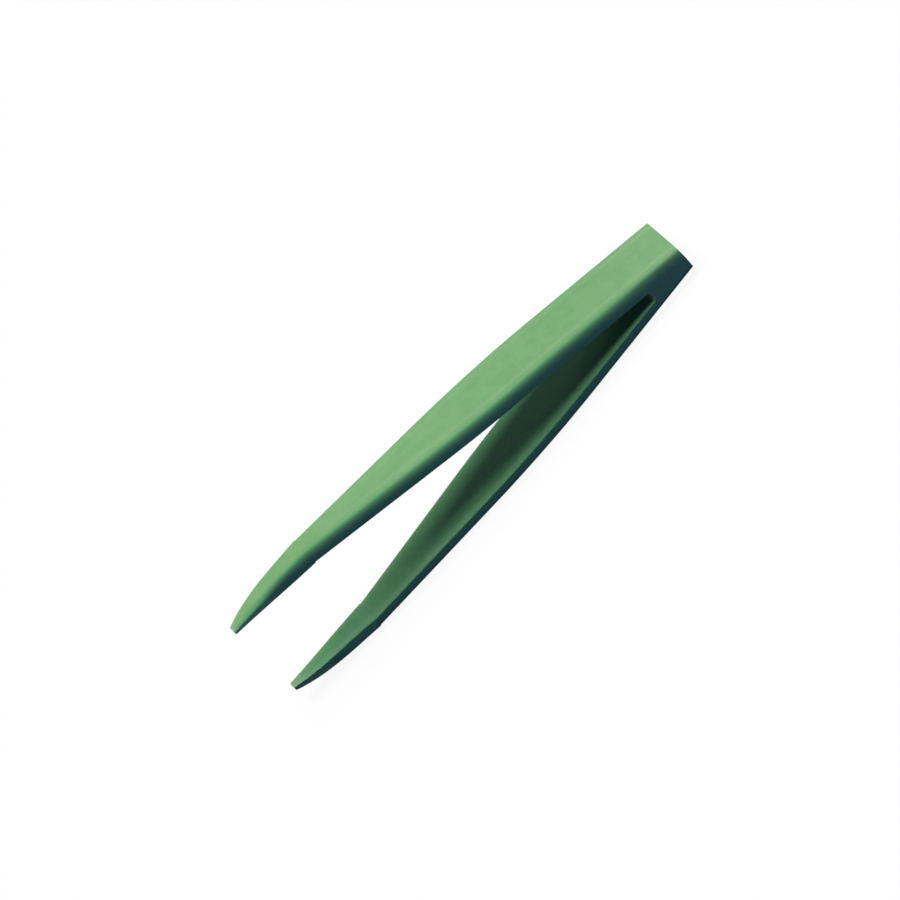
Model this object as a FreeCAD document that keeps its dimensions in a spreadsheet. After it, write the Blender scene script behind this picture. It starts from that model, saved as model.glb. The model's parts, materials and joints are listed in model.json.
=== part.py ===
import FreeCAD, Part
import Sketcher
import math
import os
from FreeCAD import Placement, Rotation, Vector

# One-piece plastic tweezers: a V of two springy arms that leave a solid head and end in narrow tips.
# The outlines run along X from the head's end (x = 0) to the tips, Y is the width, and Z the opening,
# with the middle plane between the arms at z = 0. The upper half is modelled and mirrored. At the end
# the piece is laid down on its lower arm.

document = FreeCAD.newDocument("Tweezers")

# Driving dimensions, in millimetres
sizes = document.addObject("Spreadsheet::Sheet", "sizes")
driving_dimensions = {
    # Seen from above: a handle of even width, then a straight taper. The tips leave its line near their
    # ends, and get narrower than the width that it would end at.
    "overall_length": 120,
    "handle_width": 14,
    "taper_position": 52,
    "taper_radius": 300,
    "taper_end_width": 2.8,
    # Head, and the slot that parts the arms
    "head_thickness": 7,
    "slot_start": 10.5,
    "slot_width": 2.7,
    "slot_corner_radius": 0.8,
    # Arms, seen from the side: half spreads go from the middle plane to the outer face
    "bend_position": 36,
    "bend_half_spread": 8.8,
    "bend_thickness": 3.75,
    "bend_radius": 350,
    "root_half_spread": 15.7,
    "root_thickness": 3.65,
    # Rounding along the arms' side edges
    "outer_edge_radius": 2.2,
    "inner_edge_radius": 0.3,
    # Tips: each starts at its root a little proud of its arm, bows and then curves in to a blunt nose.
    # Places are measured back from the nose's end, and each inset is how far the outer face has come in.
    "root_from_end": 22,
    "root_step": 0.1,
    "bow_from_end": 16,
    "bow_inset": 0.1,
    "bow_thickness": 3.8,
    "bow_edge_radius": 1.8,
    "curve_from_end": 8,
    "curve_inset": 0.9,
    "curve_thickness": 2.9,
    "curve_edge_radius": 1.2,
    "nose_inset": 3.05,
    "nose_thickness": 1.25,
    "nose_width": 1.9,
    "nose_edge_radius": 0.5,
    "nose_end_radius": 0.22,
    # How far a cutting outline stands clear of the shape that it cuts
    "cut_margin": 3,
}
for row, (name, value) in enumerate(driving_dimensions.items(), start=1):
    sizes.set(f"A{row}", name)
    sizes.set(f"B{row}", str(value))
    sizes.setAlias(f"B{row}", name)
document.recompute()

# Half the width on the straight taper, at the given distance from the nose's end
taper_length = "(sizes.overall_length - sizes.taper_position)"
taper_slope = f"(sizes.handle_width - sizes.taper_end_width) / 2 / {taper_length}"


def half_width_at(from_end):
    return f"(sizes.taper_end_width / 2 + {from_end} * {taper_slope})"


# Corner rounding: an arc of the given radius that touches the lines to the two neighbouring corners.
# It gives the arc's start, middle, end and centre.
def corner_arc(before, corner, after, radius):
    to_before = (before - corner).normalize()
    to_after = (after - corner).normalize()
    half_angle = to_before.getAngle(to_after) / 2
    reach = radius / math.tan(half_angle)
    inward = (to_before + to_after).normalize()
    centre = corner + inward * (radius / math.sin(half_angle))
    return corner + to_before * reach, centre - inward * radius, corner + to_after * reach, centre


# A constraint that follows the sizes, where its value is more than a plain zero
def tie(sketch, constraint, term):
    index = sketch.addConstraint(constraint)
    if "sizes" in term:
        sketch.setExpression(f"Constraints[{index}]", term)


# A closed outline from its corners, each (x, y, radius) in terms of the sizes, or without a radius
# where the corner is sharp. Every corner is tied to the sizes, and every arc to its own radius.
def draw_outline(sketch, corners):
    values = [[float(sketch.evalExpression(term)) for term in corner] for corner in corners]
    points = [Vector(value[0], value[1], 0) for value in values]
    count = len(corners)
    arrive = list(points)
    leave = list(points)
    arcs = {}
    for i, value in enumerate(values):
        if len(value) == 3:
            start, middle, end, _ = corner_arc(points[i - 1], points[i], points[(i + 1) % count], value[2])
            arrive[i] = start
            leave[i] = end
            arcs[i] = sketch.addGeometry(Part.Arc(start, middle, end), False)
    lines = [sketch.addGeometry(Part.LineSegment(leave[i], arrive[(i + 1) % count]), False)
             for i in range(count)]
    for i, corner in enumerate(corners):
        if i in arcs:
            marker = sketch.addGeometry(Part.Point(points[i]), True)
            starts_first = (sketch.getPoint(arcs[i], 1) - arrive[i]).Length < 1e-6
            first, last = (1, 2) if starts_first else (2, 1)
            sketch.addConstraint(Sketcher.Constraint("Tangent", lines[i - 1], 2, arcs[i], first))
            sketch.addConstraint(Sketcher.Constraint("Tangent", arcs[i], last, lines[i], 1))
            sketch.addConstraint(Sketcher.Constraint("PointOnObject", marker, 1, lines[i - 1]))
            sketch.addConstraint(Sketcher.Constraint("PointOnObject", marker, 1, lines[i]))
            tie(sketch, Sketcher.Constraint("Radius", arcs[i], values[i][2]), corner[2])
        else:
            marker = lines[i]
            sketch.addConstraint(Sketcher.Constraint("Coincident", lines[i - 1], 2, lines[i], 1))
        tie(sketch, Sketcher.Constraint("DistanceX", -1, 1, marker, 1, values[i][0]), corner[0])
        tie(sketch, Sketcher.Constraint("DistanceY", -1, 1, marker, 1, values[i][1]), corner[1])


def new_sketch(body, name, plane_role):
    sketch = body.newObject("Sketcher::SketchObject", name)
    plane = next(item for item in body.Origin.OriginFeatures if item.Role == plane_role)
    sketch.AttachmentSupport = [(plane, "")]
    sketch.MapMode = "FlatFace"
    return sketch


# Blank of the upper half: the arm and the upper half of the head, as seen from the side
root_position = "sizes.overall_length - sizes.root_from_end"
half = document.addObject("PartDesign::Body", "upper_half")
side_outline = new_sketch(half, "side_outline", "XZ_Plane")
draw_outline(side_outline, [
    ("0", "0"),
    ("0", "sizes.head_thickness / 2"),
    ("sizes.bend_position", "sizes.bend_half_spread", "sizes.bend_radius"),
    (root_position, "sizes.root_half_spread"),
    (root_position, "sizes.root_half_spread - sizes.root_thickness"),
    ("sizes.bend_position", "sizes.bend_half_spread - sizes.bend_thickness", "sizes.bend_radius"),
    ("sizes.slot_start", "sizes.slot_width / 2", "sizes.slot_corner_radius"),
    ("sizes.slot_start", "0"),
])
blank = half.newObject("PartDesign::Pad", "blank")
blank.Profile = side_outline
blank.SideType = "Symmetric"
blank.setExpression("Length", "sizes.handle_width + 2 * sizes.cut_margin")
document.recompute()

# Width, as seen from above: all that lies outside the handle and its taper is cut away
width_outline = new_sketch(half, "width_outline", "XY_Plane")
for side in ("", "-"):
    draw_outline(width_outline, [
        ("-sizes.cut_margin", f"{side}sizes.handle_width / 2"),
        ("sizes.taper_position", f"{side}sizes.handle_width / 2", "sizes.taper_radius"),
        ("sizes.overall_length", f"{side}sizes.taper_end_width / 2"),
        ("sizes.overall_length", f"{side}(sizes.handle_width / 2 + 2 * sizes.cut_margin)"),
        ("-sizes.cut_margin", f"{side}(sizes.handle_width / 2 + 2 * sizes.cut_margin)"),
    ])
taper = half.newObject("PartDesign::Pocket", "taper")
taper.Profile = width_outline
taper.Type = "ThroughAll"
taper.SideType = "Symmetric"
document.recompute()
assert taper.Shape.Volume < blank.Shape.Volume, "the taper has to remove material"


# Names of a shape's edges that pass the given test, which gets an edge and the faces that meet there
def edge_names(shape, is_wanted):
    return [
        f"Edge{index}"
        for index, edge in enumerate(shape.Edges, start=1)
        if is_wanted(edge, shape.ancestorsOfType(edge, Part.Face))
    ]


def middle_normal(face):
    u_low, u_high, v_low, v_high = face.ParameterRange
    return face.normalAt((u_low + u_high) / 2, (v_low + v_high) / 2)


# An arm's side edges lie between one side face and the outer or the inner face, the slot included.
# The head's end and the middle plane keep their edges.
def is_side_edge(edge, faces):
    side_faces = [face for face in faces if abs(middle_normal(face).y) > 0.9]
    box = edge.BoundBox
    on_cut = box.XMax < 0.01 or box.ZMax < 0.01 or box.XMin > root_end - 0.01
    return len(side_faces) == 1 and not on_cut


def is_outer_edge(edge, faces):
    return is_side_edge(edge, faces) and any(middle_normal(face).z > 0.5 for face in faces)


def is_inner_edge(edge, faces):
    return is_side_edge(edge, faces) and not is_outer_edge(edge, faces)


root_end = blank.Shape.BoundBox.XMax
outer_rounding = half.newObject("PartDesign::Fillet", "outer_rounding")
outer_rounding.Base = (taper, edge_names(taper.Shape, is_outer_edge))
outer_rounding.setExpression("Radius", "sizes.outer_edge_radius")
document.recompute()
inner_rounding = half.newObject("PartDesign::Fillet", "inner_rounding")
inner_rounding.Base = (outer_rounding, edge_names(outer_rounding.Shape, is_inner_edge))
inner_rounding.setExpression("Radius", "sizes.inner_edge_radius")
document.recompute()


# One cross-section of the tip, upright at the given distance from the nose's end
def tip_section(name, from_end, half_width, outer, inner, outer_radius):
    section = new_sketch(half, name, "YZ_Plane")
    section.setExpression("AttachmentOffset.Base.z", f"sizes.overall_length - {from_end}")
    draw_outline(section, [
        (f"-{half_width}", inner, "sizes.inner_edge_radius"),
        (half_width, inner, "sizes.inner_edge_radius"),
        (half_width, outer, outer_radius),
        (f"-{half_width}", outer, outer_radius),
    ])
    return section


def tip_station(name, from_end, half_width):
    outer = f"sizes.root_half_spread - sizes.{name}_inset"
    inner = f"{outer} - sizes.{name}_thickness"
    return tip_section(f"{name}_section", from_end, half_width, outer, inner, f"sizes.{name}_edge_radius")


root_section = tip_section(
    "root_section", "sizes.root_from_end",
    f"({half_width_at('sizes.root_from_end')} + sizes.root_step)",
    "sizes.root_half_spread + sizes.root_step",
    "sizes.root_half_spread - sizes.root_thickness - sizes.root_step",
    "sizes.outer_edge_radius",
)
tip = half.newObject("PartDesign::AdditiveLoft", "tip")
tip.Profile = root_section
tip.Sections = [
    tip_station("bow", "sizes.bow_from_end", half_width_at("sizes.bow_from_end")),
    tip_station("curve", "sizes.curve_from_end", half_width_at("sizes.curve_from_end")),
    tip_station("nose", "0", "sizes.nose_width / 2"),
]
document.recompute()

tip_end = tip.Shape.BoundBox.XMax
nose_rounding = half.newObject("PartDesign::Fillet", "nose_rounding")
nose_rounding.Base = (tip, edge_names(tip.Shape, lambda edge, faces: edge.BoundBox.XMin > tip_end - 0.01))
nose_rounding.setExpression("Radius", "sizes.nose_end_radius")
document.recompute()

# The lower half is the upper one's mirror image, and the two are one solid
lower_half = document.addObject("Part::Mirroring", "lower_half")
lower_half.Source = half
lower_half.Normal = Vector(0, 0, 1)
tweezers = document.addObject("Part::Fuse", "tweezers")
tweezers.Base = half
tweezers.Tool = lower_half
tweezers.Refine = True
tweezers.Label = "tweezers"
document.recompute()


# Laid down, the piece touches the ground with the bend of its lower arm and with the step at its lower
# tip's root: the line from that step that touches the bend's arc lies flat. The origin is on the ground,
# under the middle of the piece.
def size(name):
    return float(sizes.get(name))


root_x = size("overall_length") - size("root_from_end")
_, _, _, bend_centre = corner_arc(
    Vector(0, 0, -size("head_thickness") / 2),
    Vector(size("bend_position"), 0, -size("bend_half_spread")),
    Vector(root_x, 0, -size("root_half_spread")),
    size("bend_radius"),
)
step = Vector(root_x, 0, -size("root_half_spread") - size("root_step"))
to_centre = bend_centre - step
touching_angle = math.degrees(math.asin(size("bend_radius") / to_centre.Length))
ground_line = Rotation(Vector(0, 1, 0), -touching_angle).multVec(to_centre)
lying_down = Rotation(ground_line, Vector(-1, 0, 0))
tweezers.Placement = Placement(Vector(0, 0, 0), lying_down)
outer_box = tweezers.Shape.optimalBoundingBox()
ground_point = Vector(outer_box.Center.x, 0, outer_box.ZMin)
tweezers.Placement = Placement(-ground_point, lying_down)

for item in document.Objects:
    if "Invalid" in item.State or "Error" in item.State:
        raise RuntimeError(f"{item.Name} did not compute: {item.State}")

sub_parts = [tweezers]
for sub_part in sub_parts:
    if sub_part.Shape.isNull() or not sub_part.Shape.isValid():
        raise RuntimeError(f"{sub_part.Label} has no valid shape")

os.makedirs("parts", exist_ok=True)
for sub_part in sub_parts:
    sub_part.Shape.exportStep(f"parts/{sub_part.Label}.step")
    print(sub_part.Label, round(sub_part.Shape.Volume, 1), "cubic millimetres")
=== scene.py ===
import json
import math

import bpy
import numpy as np
from mathutils import Matrix, Vector

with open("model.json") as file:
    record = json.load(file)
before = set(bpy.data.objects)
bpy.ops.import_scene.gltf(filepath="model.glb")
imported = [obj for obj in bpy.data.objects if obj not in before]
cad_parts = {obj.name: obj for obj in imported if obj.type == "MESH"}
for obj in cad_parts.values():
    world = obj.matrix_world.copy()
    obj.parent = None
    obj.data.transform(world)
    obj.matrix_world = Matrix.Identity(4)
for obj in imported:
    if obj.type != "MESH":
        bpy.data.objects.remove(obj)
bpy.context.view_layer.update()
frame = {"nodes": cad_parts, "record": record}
record = frame["record"]
tweezers = frame["nodes"]["tweezers"]
print("frame loaded")


# The outline's own frame, from the mount at the head's end: x runs along the middle of the V to
# the tips, y is the width, and z the way the arms open. The piece lies on its lower arm, so it is
# tilted.
headMount = next(mount for mount in record["mounts"] if mount["name"] == "head_end")
headEnd = Vector(headMount["pos_m"])
alongAxis = -Vector(headMount["axis"]).normalized()
lyingTilt = math.atan2(alongAxis.z, alongAxis.x)
millimetre = 0.001


# A value in a shader: arithmetic on it adds Math nodes
class Value:
    def __init__(self, shader, socket):
        self.shader = shader
        self.socket = socket

    def sibling(self, output):                       # another output of the same node
        return Value(self.shader, self.socket.node.outputs[output])

    def combine(self, operation, *others, clamp=False):
        settings = {"operation": operation, "use_clamp": clamp}
        return self.shader.node("ShaderNodeMath", settings, dict(enumerate((self, *others))))

    def __add__(self, other): return self.combine("ADD", other)
    def __radd__(self, other): return self.combine("ADD", other)
    def __sub__(self, other): return self.combine("SUBTRACT", other)
    def __rsub__(self, other): return -self + other
    def __mul__(self, other): return self.combine("MULTIPLY", other)
    def __rmul__(self, other): return self.combine("MULTIPLY", other)
    def __neg__(self): return self.combine("MULTIPLY", -1.0)
    def __abs__(self): return self.combine("ABSOLUTE")

    def sign(self):
        return self.combine("SIGN")

    def clamped(self):
        return self.combine("ADD", 0.0, clamp=True)

    def rise(self, low, high):                       # 0 below low, 1 above high, smooth between
        settings = {"interpolation_type": "SMOOTHSTEP", "clamp": True}
        inputs = {"Value": self, "From Min": low, "From Max": high, "To Min": 0.0, "To Max": 1.0}
        return self.shader.node("ShaderNodeMapRange", settings, inputs)

    def fall(self, low, high):                       # 1 below low, 0 above high
        return 1.0 - self.rise(low, high)


# A material's or the world's node tree. node() adds one node: type, settings, values or links
class Shader:
    def __init__(self, owner):
        owner.use_nodes = True
        self.tree = owner.node_tree
        self.tree.nodes.clear()

    def node(self, kind, settings=None, inputs=None, output=0):
        made = self.tree.nodes.new(kind)
        for name, setting in (settings or {}).items():
            setattr(made, name, setting)
        for name, value in (inputs or {}).items():
            if isinstance(value, Value):
                self.tree.links.new(value.socket, made.inputs[name])
            else:
                made.inputs[name].default_value = value
        return Value(self, made.outputs[output])

    def output(self, kind, surface):
        made = self.tree.nodes.new(kind)
        self.tree.links.new(surface.socket, made.inputs["Surface"])

    def vector(self, operation, *operands):
        settings = {"operation": operation}
        return self.node("ShaderNodeVectorMath", settings, dict(enumerate(operands)))

    def blend(self, factor, low, high):              # colours: low where the factor is 0, high at 1
        settings = {"data_type": "RGBA", "blend_type": "MIX"}
        return self.node("ShaderNodeMix", settings, {0: factor, 6: low, 7: high}, output=2)

    def noise(self, vector, scale, detail, roughness, distortion=0.0, stretch=None):
        if stretch:
            vector = self.vector("MULTIPLY", vector, stretch)
        inputs = {"Vector": vector, "Scale": scale, "Detail": detail, "Roughness": roughness,
                  "Distortion": distortion}
        return self.node("ShaderNodeTexNoise", {"noise_dimensions": "3D"}, inputs)


# Lengths are millimetres. A pair is where something begins and where it is full, or fades and is
# gone: from the head's end, in from the side face, or as the value of a pattern or a normal.
plastic = {
    "green": (0.205, 0.430, 0.185, 1.0),
    "deepGreen": (0.180, 0.400, 0.165, 1.0),
    "shadedRoundingGreen": (0.120, 0.420, 0.150, 1.0),         # painted shade on the outer rounding
    "shadedSideGreen": (0.110, 0.340, 0.150, 1.0),         # painted shade on the side faces
    "paleGreen": (0.270, 0.480, 0.240, 1.0),         # on flecks, painted highlights by the edges, and towards the head
    "noseGreen": (0.330, 0.490, 0.330, 1.0),        # on the noses' scuffs, and a painted highlight on their ends
    "roughness": 0.5,
    "specularLevel": 0.08,

    # The patterns' scales are in blotches a millimetre
    "mottle": {"scale": 0.22, "detail": 3.0, "roughness": 0.6, "distortion": 0.4},
    "streaks": {"scale": 0.5, "detail": 2.0, "roughness": 0.5, "stretch": (0.06, 1.0, 1.0)},
    "flecks": {"scale": 1.6, "detail": 2.0, "roughness": 0.6},
    "scuffs": {"scale": 1.0, "detail": 2.0, "roughness": 0.6, "stretch": (0.5, 1.2, 1.2)},
    "smudges": {"scale": 0.13, "detail": 2.0, "roughness": 0.5, "distortion": 0.8},
    "grain": {"scale": 5.5, "detail": 3.0, "roughness": 0.55},
    "wave": {"scale": 0.35, "detail": 1.0, "roughness": 0.5},

    # The piece's outline from above
    "length": 120.0,
    "halfWidth": 7.0,
    "taperStart": 52.0,
    "taperBlend": 1.5,
    "taperEndHalfWidth": 1.4,
    "noseLength": 7.0,
    "noseInset": 0.45,

    # Pigment, with painted shade on the outer rounding and the side faces
    "mottleShare": 0.55,
    "streakShare": 0.2,
    "fleckShare": 0.25,
    "greenRange": (0.38, 0.62),
    "paleFlecks": (0.60, 0.78),
    "paleFleckAmount": 0.25,
    "edgeRange": (0.2, 0.7),
    "sideRange": (0.85, 1.0),
    "paintedShadeAmount": 0.8,

    # Painted highlights by the edges, paler towards the head, and scuffed noses with a painted
    # highlight on their ends
    "patchyLeast": 0.6,
    "patchyFlecks": 0.6,
    "flatRange": (0.3, 0.8),                         # of the normal, on the arms' flat faces
    "innerBandStart": (0.15, 0.55),
    "innerBandEnd": (1.0, 2.2),
    "innerBandAmount": 0.75,
    "highlightSideRange": (-1.0, 1.0),                         # across the width, to the +Y side, where the painted highlight is stronger
    "highlightSideShare": 0.9,
    "outerBandStart": (1.8, 2.3),
    "outerBandEnd": (2.7, 3.4),
    "outerBandFades": (78.0, 96.0),
    "outerBandAmount": 0.3,
    "outerBandHeadAmount": 0.35,
    "paleHead": (2.0, 22.0),
    "paleHeadAmount": 0.25,
    "scuffStart": (115.0, 120.5),
    "scuffRange": (0.30, 0.70),
    "scuffShare": 0.6,
    "litNose": (118.5, 120.0),
    "noseGreenAmount": 0.7,

    # Sheen: where fingers have polished it
    "gripStart": (18.0, 32.0),
    "gripEnd": (60.0, 78.0),
    "gripGloss": 0.05,
    "smudgeRoughness": 0.12,
    "scuffRoughness": 0.15,
    "fleckRoughness": 0.04,

    # Relief, and how far the outer rounding's and the noses' normals turn aside
    "grainDepth": 0.010,
    "waveDepth": 0.020,
    "scuffDepth": 0.008,
    "outerRange": (0.0, 0.25),
    "creaseTurn": 2.0,
    "creaseRange": (0.45, 1.10),
    "creaseFades": (98.0, 114.0),
    "headCreaseTurn": 1.2,
    "headCreaseRange": (0.30, 0.80),
    "headCreaseFades": (4.0, 20.0),
    "noseTurn": 0.7,
    "noseRange": (0.3, 0.9),
    "noseStart": (106.0, 118.0),
}


# Half the width is level over the handle, falls along the taper, and falls faster over the nose
def halfWidthAt(along, spec):
    slope = (spec["taperEndHalfWidth"] - spec["halfWidth"]) / (spec["length"] - spec["taperStart"])
    tapered = (along - spec["taperStart"]) * slope + spec["halfWidth"]
    halfWidth = tapered.combine("SMOOTH_MIN", spec["halfWidth"], spec["taperBlend"])
    narrowed = along.rise(spec["length"] - spec["noseLength"], spec["length"])
    return halfWidth - narrowed * spec["noseInset"]


def mouldedPlastic(spec):
    material = bpy.data.materials.new("greenPlastic")
    shader = Shader(material)
    place = shader.node("ShaderNodeMapping", {"vector_type": "TEXTURE"}, {
        "Vector": shader.node("ShaderNodeTexCoord", output="Object"),
        "Location": headEnd,
        "Rotation": (0.0, -lyingTilt, 0.0),
        "Scale": (millimetre, millimetre, millimetre),
    })
    along = shader.node("ShaderNodeSeparateXYZ", None, {0: place})
    across, opening = along.sibling("Y"), along.sibling("Z")
    normal = shader.node("ShaderNodeTexCoord", output="Normal")
    normalAcross = shader.node("ShaderNodeSeparateXYZ", None, {0: normal}, output="Y")
    normalUp = normalAcross.sibling("Z")

    fromSide = halfWidthAt(along, spec) - abs(across)
    outward = opening.sign() * normalUp              # 1 on the outer faces, -1 on the inner ones
    inward = -outward
    sideways = across.sign() * normalAcross          # 1 on the side faces, 0 on the flat ones

    # Pigment: soft blotches, faint flow streaks along the arms, and fine flecks
    flecks = shader.noise(place, **spec["flecks"])
    shade = shader.noise(place, **spec["mottle"]) * spec["mottleShare"]
    shade = shade + shader.noise(place, **spec["streaks"]) * spec["streakShare"]
    shade = shade + flecks * spec["fleckShare"]
    pigment = shader.blend(shade.rise(*spec["greenRange"]), spec["deepGreen"], spec["green"])
    paleFlecks = flecks.rise(*spec["paleFlecks"]) * spec["paleFleckAmount"]
    pigment = shader.blend(paleFlecks, pigment, spec["paleGreen"])
    # Painted shade: darker, deeper greens on the outer rounding and on the side faces, by which way
    # the surface faces
    paintedRoundingShade = sideways.rise(*spec["edgeRange"]) * spec["paintedShadeAmount"]
    pigment = shader.blend(paintedRoundingShade, pigment, spec["shadedRoundingGreen"])
    paintedSideShade = sideways.rise(*spec["sideRange"]) * spec["paintedShadeAmount"]
    pigment = shader.blend(paintedSideShade, pigment, spec["shadedSideGreen"])

    # Painted highlights: pale bands by the inner edges, stronger on the +Y side, and where the
    # outer rounding starts. Paler towards the head's end. Tips scuffed by use, with a painted
    # highlight on their very ends
    patchy = (flecks * spec["patchyFlecks"] + spec["patchyLeast"]).clamped()
    # Painted highlight along the inner edges, stronger towards the +Y side
    highlightSide = across.rise(*spec["highlightSideRange"]) * spec["highlightSideShare"] + (1.0 - spec["highlightSideShare"])
    innerHighlight = fromSide.rise(*spec["innerBandStart"]) * fromSide.fall(*spec["innerBandEnd"])
    innerHighlight = innerHighlight * inward.rise(*spec["flatRange"]) * highlightSide
    # Painted highlight where the outer rounding starts, stronger towards the head
    outerHighlight = fromSide.rise(*spec["outerBandStart"]) * fromSide.fall(*spec["outerBandEnd"])
    outerHighlight = outerHighlight * outward.rise(*spec["flatRange"]) * along.fall(*spec["outerBandFades"])
    # Towards the head's end: a stronger painted highlight on the outer rounding, and a paler
    # pigment
    towardsHead = along.fall(*spec["paleHead"])
    outerAmount = towardsHead * spec["outerBandHeadAmount"] + spec["outerBandAmount"]
    paintedHighlight = innerHighlight * spec["innerBandAmount"] + outerHighlight * outerAmount
    pigment = shader.blend((paintedHighlight * patchy).clamped(), pigment, spec["paleGreen"])
    pigment = shader.blend(towardsHead * patchy * spec["paleHeadAmount"], pigment, spec["paleGreen"])
    scuffs = shader.noise(place, **spec["scuffs"])
    scuffsAndLitNose = along.rise(*spec["scuffStart"]) * scuffs.rise(*spec["scuffRange"])
    # The noses' very ends get this pale green in full: a painted highlight; the scuffs are wear
    scuffsAndLitNose = (scuffsAndLitNose * spec["scuffShare"]).combine("MAXIMUM", along.rise(*spec["litNose"]))
    pigment = shader.blend(scuffsAndLitNose * spec["noseGreenAmount"], pigment, spec["noseGreen"])

    # Sheen: satin with faint smudges, smoother where fingers hold the arms, duller on the scuffs
    smudges = shader.noise(place, **spec["smudges"]) - 0.5
    handled = along.rise(*spec["gripStart"]) * along.fall(*spec["gripEnd"])
    handled = handled * inward.combine("LESS_THAN", 0.0)
    roughness = smudges * spec["smudgeRoughness"] + spec["roughness"] - handled * spec["gripGloss"]
    roughness = roughness + scuffsAndLitNose * spec["scuffRoughness"] + flecks * spec["fleckRoughness"]

    # Relief: the mould's fine grain over a very shallow wave, in millimetres of depth
    relief = shader.noise(place, **spec["grain"]) * spec["grainDepth"]
    relief = relief + shader.noise(place, **spec["wave"]) * spec["waveDepth"]
    relief = relief - scuffsAndLitNose * scuffs * spec["scuffDepth"]

    # The outer rounding is fuller than a circle's arc, most of all at the head: its normals turn
    # sideways sooner. The noses are rounder: their sides' normals turn outwards.
    headCrease = sideways.rise(*spec["headCreaseRange"]) * along.fall(*spec["headCreaseFades"])
    creased = sideways.rise(*spec["creaseRange"]) * spec["creaseTurn"]
    creased = creased + headCrease * spec["headCreaseTurn"]
    creased = creased * outward.rise(*spec["outerRange"]) * along.fall(*spec["creaseFades"])
    rounder = sideways.rise(*spec["noseRange"]) * along.rise(*spec["noseStart"]) * spec["noseTurn"]
    aside = shader.node("ShaderNodeCombineXYZ", None, {
        "Y": across.sign() * creased,
        "Z": opening.sign() * rounder,
    })
    bump = shader.node("ShaderNodeBump", None, {
        "Strength": 1.0,
        "Distance": millimetre,
        "Height": relief,
        "Normal": shader.vector("NORMALIZE", shader.vector("ADD", normal, aside)),
    })

    surface = shader.node("ShaderNodeBsdfPrincipled", {"distribution": "MULTI_GGX"}, {
        "Base Color": pigment,
        "Roughness": roughness.clamped(),
        "Normal": bump,
        "Specular IOR Level": spec["specularLevel"],
    })
    shader.output("ShaderNodeOutputMaterial", surface)
    return material


tweezers.data.materials.clear()
tweezers.data.materials.append(mouldedPlastic(plastic))
print("plastic ready")


# The floor and the world look pale to the camera and in reflections, and give the piece little
# light from below. What the lamps add to the pale floor is what the piece's shadow takes away.
studio = {
    "floorReach": 4.0,
    "white": (1.0, 1.0, 1.0, 1.0),
    "paleGlow": 0.92,
    "paleGrey": (0.08, 0.08, 0.08, 1.0),
    "darkGrey": (0.04, 0.05, 0.06, 1.0),
    "skyColour": (0.5, 0.7, 1.0, 1.0),
    "skyLevel": 0.01,
}


# 1 for what the camera sees, also in a reflection or through glass, and 0 for the light's own rays
def seenDirectly(shader):
    camera = shader.node("ShaderNodeLightPath", output="Is Camera Ray")
    glossy = camera.sibling("Is Glossy Ray")
    transmission = camera.sibling("Is Transmission Ray")
    return camera.combine("MAXIMUM", glossy).combine("MAXIMUM", transmission)


def floorMaterial(spec):
    material = bpy.data.materials.new("paleFloor")
    shader = Shader(material)
    lit = shader.node("ShaderNodeBsdfDiffuse", None, {"Color": spec["paleGrey"]})
    glow = shader.node("ShaderNodeEmission", None,
                       {"Color": spec["white"], "Strength": spec["paleGlow"]})
    pale = shader.node("ShaderNodeAddShader", None, {0: lit, 1: glow})
    dark = shader.node("ShaderNodeBsdfDiffuse", None, {"Color": spec["darkGrey"]})
    surface = shader.node("ShaderNodeMixShader", None, {0: seenDirectly(shader), 1: dark, 2: pale})
    shader.output("ShaderNodeOutputMaterial", surface)
    return material


# A square at ground level, its corners at plus and minus the reach in x and y
def makeFloor(spec):
    signs = np.array([(-1, -1), (1, -1), (1, 1), (-1, 1)])
    corners = np.column_stack([signs * spec["floorReach"], np.zeros(len(signs))])
    mesh = bpy.data.meshes.new("floor")
    mesh.from_pydata(corners.tolist(), [], [(0, 1, 2, 3)])
    mesh.materials.append(floorMaterial(spec))
    floor = bpy.data.objects.new("floor", mesh)
    bpy.context.scene.collection.objects.link(floor)


def makeWorld(spec):
    world = bpy.data.worlds.new("studio")
    bpy.context.scene.world = world
    shader = Shader(world)
    white = shader.node("ShaderNodeBackground", None, {"Color": spec["white"], "Strength": 1.0})
    sky = shader.node("ShaderNodeBackground", None,
                      {"Color": spec["skyColour"], "Strength": spec["skyLevel"]})
    surface = shader.node("ShaderNodeMixShader", None, {0: seenDirectly(shader), 1: sky, 2: white})
    shader.output("ShaderNodeOutputWorld", surface)


makeFloor(studio)
makeWorld(studio)
print("floor and world ready")


# Directions are turned round the piece as in a studio plan: azimuth 0 is the side that -Y faces,
# 90 the tips' side, and elevation is the angle above the floor.
def direction(azimuth, elevation):
    turn, rise = math.radians(azimuth), math.radians(elevation)
    level = math.cos(rise)
    return Vector((math.sin(turn) * level, -math.cos(turn) * level, math.sin(rise)))


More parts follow.
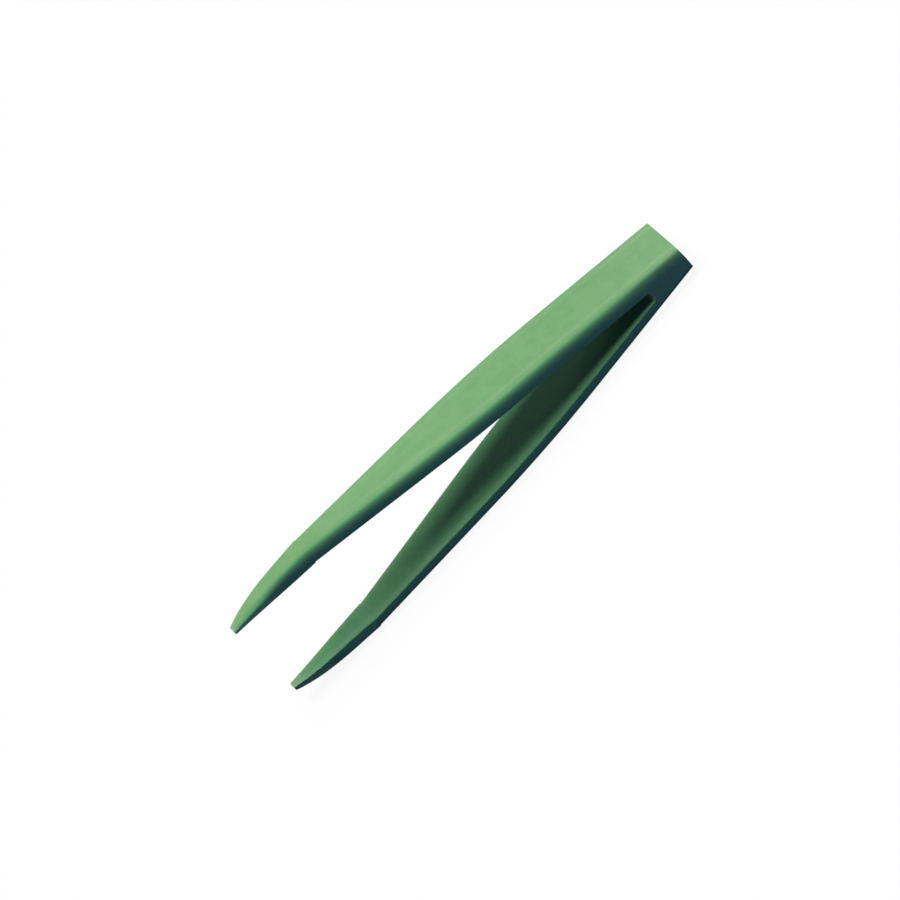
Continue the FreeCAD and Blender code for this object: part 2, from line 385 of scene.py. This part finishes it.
aimPoint = Vector((0.00143, -0.00194, 0.01362))      # what the camera and the lamps point at
lamps = {                                            # the two overhead ones add up to white
    "overhead": {"azimuth": 0, "elevation": 89.5, "distance": 1.1, "size": (0.9, 0.66),
                 "colour": (0.745, 0.985, 1.0), "power": 10.57},
    "overheadWarm": {"azimuth": 0, "elevation": 89.5, "distance": 1.1, "size": (0.3, 0.1),
                     "colour": (1.0, 0.44, 0.36), "power": 5.07},
    "coolBack": {"azimuth": -45, "elevation": 20, "distance": 1.2, "size": (1.0, 0.5),
                 "colour": (0.60, 0.72, 1.0), "power": 3.34},
    "coolFront": {"azimuth": 180, "elevation": 8, "distance": 1.2, "size": (1.2, 0.3),
                  "colour": (0.015, 0.05, 1.0), "power": 2.8},
}


def makeLamp(name, spec):
    towards = direction(spec["azimuth"], spec["elevation"])
    light = bpy.data.lights.new(name, "AREA")
    light.shape = "ELLIPSE"
    light.size, light.size_y = spec["size"]
    light.color = spec["colour"]
    light.energy = spec["power"]
    lamp = bpy.data.objects.new(name, light)
    lamp.location = aimPoint + towards * spec["distance"]
    lamp.rotation_euler = towards.to_track_quat("Z", "Y").to_euler()
    bpy.context.scene.collection.objects.link(lamp)


for lampName, lampSpec in lamps.items():
    makeLamp(lampName, lampSpec)

view = {
    "azimuth": -174.87,
    "elevation": 44.78,
    "roll": 53.73,                                   # degrees, of the picture's up to its right
    "distance": 1.3,
    "lens": 251.7,
    "sensor": 36.0,
}


def makeCamera(spec):
    towards = direction(spec["azimuth"], spec["elevation"])
    side = Vector((0, 0, 1)).cross(towards).normalized()
    up = towards.cross(side)
    turned = math.radians(spec["roll"])
    pictureUp = up * math.cos(turned) + side * math.sin(turned)
    pictureRight = pictureUp.cross(towards)
    camera = bpy.data.objects.new("camera", bpy.data.cameras.new("camera"))
    camera.data.lens = spec["lens"]
    camera.data.sensor_width = spec["sensor"]
    axes = Matrix((pictureRight, pictureUp, towards)).transposed().to_4x4()
    camera.matrix_world = Matrix.Translation(aimPoint + towards * spec["distance"]) @ axes
    bpy.context.scene.collection.objects.link(camera)
    bpy.context.scene.camera = camera


makeCamera(view)
bpy.context.scene.view_settings.view_transform = "Standard"
print("lamps and camera ready")
